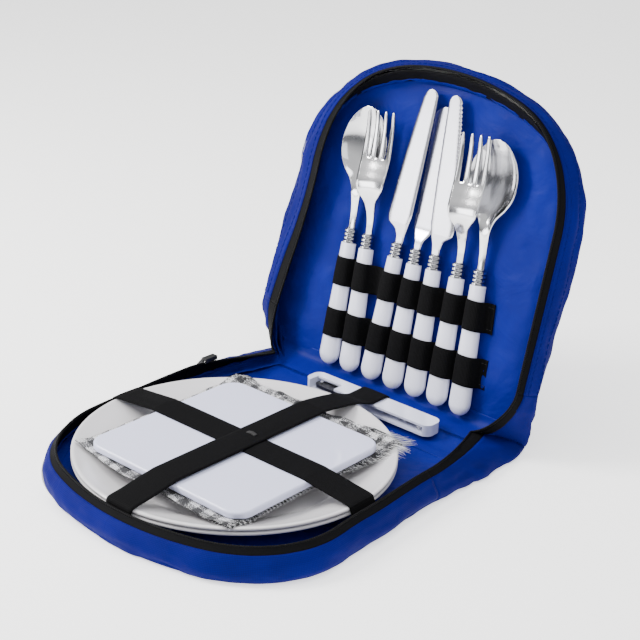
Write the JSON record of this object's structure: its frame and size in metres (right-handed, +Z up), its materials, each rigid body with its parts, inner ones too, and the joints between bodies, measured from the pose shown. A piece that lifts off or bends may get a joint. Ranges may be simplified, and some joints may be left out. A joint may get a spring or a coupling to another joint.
{
  "type": "picnic cutlery set",
  "caption": "Zipped clamshell picnic case, open, with cutlery held in lid loops, and plates, napkins, board and corkscrew strapped in the base.",
  "frame": {"origin": "on the resting face, under the middle of the base tray", "axes": "+Z up, +Y from the round front of the base towards the lid, +X along the fold to the right seen from the front"},
  "size_m": [0.2361, 0.3164, 0.2296],
  "materials": {
    "outer_cloth": "plain-weave polyester, semi-matt",
    "lining_cloth": "satin polyester lining",
    "zip_tape": "woven black tape",
    "zip_coil": "moulded nylon coil",
    "stiffener": "sheet plastic",
    "elastic": "ribbed black elastic webbing",
    "slider_metal": "black enamel",
    "plate_plastic": "glossy off-white",
    "board_plastic": "glossy cool white",
    "napkin_cloth": "woven check",
    "handle_plastic": "glossy white",
    "collar_chrome": "ribbed, bright",
    "polished_steel": "polished",
    "corkscrew_plastic": "glossy white",
    "tool_steel": "plain"
  },
  "bodies": {
    "base_tray": {"base_outer_panel": "outer_cloth", "base_stiffener": "stiffener", "base_lining": "lining_cloth", "base_side_wall": "outer_cloth", "base_zip_tape": "zip_tape", "base_zip_teeth": "zip_coil", "strap_across": "elastic", "strap_along": "elastic"},
    "spine": {"spine_panel": "outer_cloth", "spine_lining": "lining_cloth"},
    "lid_tray": {"lid_outer_panel": "outer_cloth", "lid_stiffener": "stiffener", "lid_lining": "lining_cloth", "lid_side_wall": "outer_cloth", "lid_zip_tape": "zip_tape", "lid_zip_teeth": "zip_coil", "loop_row_lower": "elastic", "loop_row_upper": "elastic"},
    "slider": {"zip_slider": "slider_metal"},
    "pull": {"zip_pull": "slider_metal"},
    "lower_plate": {"plate_lower": "plate_plastic"},
    "upper_plate": {"plate_upper": "plate_plastic"},
    "lower_napkin": {"napkin_lower": "napkin_cloth"},
    "upper_napkin": {"napkin_upper": "napkin_cloth"},
    "board": {"cutting_board": "board_plastic"},
    "corkscrew": {"corkscrew_body": "corkscrew_plastic", "lever_pin": "tool_steel", "worm_pin": "tool_steel"},
    "lever": {"corkscrew_lever": "tool_steel"},
    "worm": {"corkscrew_worm": "tool_steel"},
    "left_spoon": {"spoon_left_handle": "handle_plastic", "spoon_left_ferrule": "collar_chrome", "spoon_left_head": "polished_steel"},
    "left_fork": {"fork_left_handle": "handle_plastic", "fork_left_ferrule": "collar_chrome", "fork_left_head": "polished_steel"},
    "left_knife": {"knife_left_handle": "handle_plastic", "knife_left_ferrule": "collar_chrome", "knife_left_head": "polished_steel"},
    "middle_spreader": {"spreader_handle": "handle_plastic", "spreader_ferrule": "collar_chrome", "spreader_head": "polished_steel"},
    "right_knife": {"knife_right_handle": "handle_plastic", "knife_right_ferrule": "collar_chrome", "knife_right_head": "polished_steel"},
    "right_fork": {"fork_right_handle": "handle_plastic", "fork_right_ferrule": "collar_chrome", "fork_right_head": "polished_steel"},
    "right_spoon": {"spoon_right_handle": "handle_plastic", "spoon_right_ferrule": "collar_chrome", "spoon_right_head": "polished_steel"}
  },
  "joints": [
    {"name": "spine_fold", "type": "hinge", "parent": "base_tray", "child": "spine", "pos_m": [0, 0.1125, 0.0012], "axis": [-1, 0, 0], "range_deg": [-77.3, 0]},
    {"name": "lid_fold", "type": "hinge", "parent": "spine", "child": "lid_tray", "pos_m": [0, 0.15113, 0.00991], "axis": [-1, 0, 0], "range_deg": [-25.9, 78]},
    {"name": "zip_slide", "type": "slide", "parent": "base_tray", "child": "slider", "axis": [0, -1, 0], "range_m": [0, 0.1]},
    {"name": "pull_hinge", "type": "hinge", "parent": "slider", "child": "pull", "pos_m": [-0.10775, 0.0815, 0.0198], "axis": [0, 1, 0], "range_deg": [0, 120]},
    {"name": "lower_plate_lift", "type": "slide", "parent": "base_tray", "child": "lower_plate", "axis": [0, 0, 1], "range_m": [0, 0.06], "deforming": ["strap_across", "strap_along"]},
    {"name": "upper_plate_lift", "type": "slide", "parent": "lower_plate", "child": "upper_plate", "axis": [0, 0, 1], "range_m": [0, 0.04]},
    {"name": "lower_napkin_lift", "type": "slide", "parent": "upper_plate", "child": "lower_napkin", "axis": [0, 0, 1], "range_m": [0, 0.03]},
    {"name": "upper_napkin_lift", "type": "slide", "parent": "lower_napkin", "child": "upper_napkin", "axis": [0, 0, 1], "range_m": [0, 0.02]},
    {"name": "board_lift", "type": "slide", "parent": "upper_napkin", "child": "board", "axis": [0, 0, 1], "range_m": [0, 0.03]},
    {"name": "corkscrew_lift", "type": "slide", "parent": "spine", "child": "corkscrew", "axis": [0, 0, 1], "range_m": [0, 0.06]},
    {"name": "lever_hinge", "type": "hinge", "parent": "corkscrew", "child": "lever", "pos_m": [-0.034, 0.1215, 0.0107], "axis": [0, 0, -1], "range_deg": [0, 95]},
    {"name": "worm_hinge", "type": "hinge", "parent": "corkscrew", "child": "worm", "pos_m": [0.052, 0.1215, 0.0107], "axis": [0, 0, 1], "range_deg": [0, 90]},
    {"name": "left_spoon_draw", "type": "slide", "parent": "lid_tray", "child": "left_spoon", "axis": [0, -0.8813, 0.4726], "range_m": [0, 0.06]},
    {"name": "left_fork_draw", "type": "slide", "parent": "left_spoon", "child": "left_fork", "axis": [0, -0.8813, 0.4726], "range_m": [0, 0.06]},
    {"name": "middle_spreader_draw", "type": "slide", "parent": "lid_tray", "child": "middle_spreader", "axis": [0, -0.8813, 0.4726], "range_m": [0, 0.06], "deforming": ["loop_row_lower", "loop_row_upper"]},
    {"name": "left_knife_draw", "type": "slide", "parent": "middle_spreader", "child": "left_knife", "axis": [0, -0.8813, 0.4726], "range_m": [0, 0.06]},
    {"name": "right_knife_draw", "type": "slide", "parent": "middle_spreader", "child": "right_knife", "axis": [0, -0.8813, 0.4726], "range_m": [0, 0.06]},
    {"name": "right_spoon_draw", "type": "slide", "parent": "lid_tray", "child": "right_spoon", "axis": [0, -0.8813, 0.4726], "range_m": [0, 0.06]},
    {"name": "right_fork_draw", "type": "slide", "parent": "right_spoon", "child": "right_fork", "axis": [0, -0.8813, 0.4726], "range_m": [0, 0.06]}
  ]
}
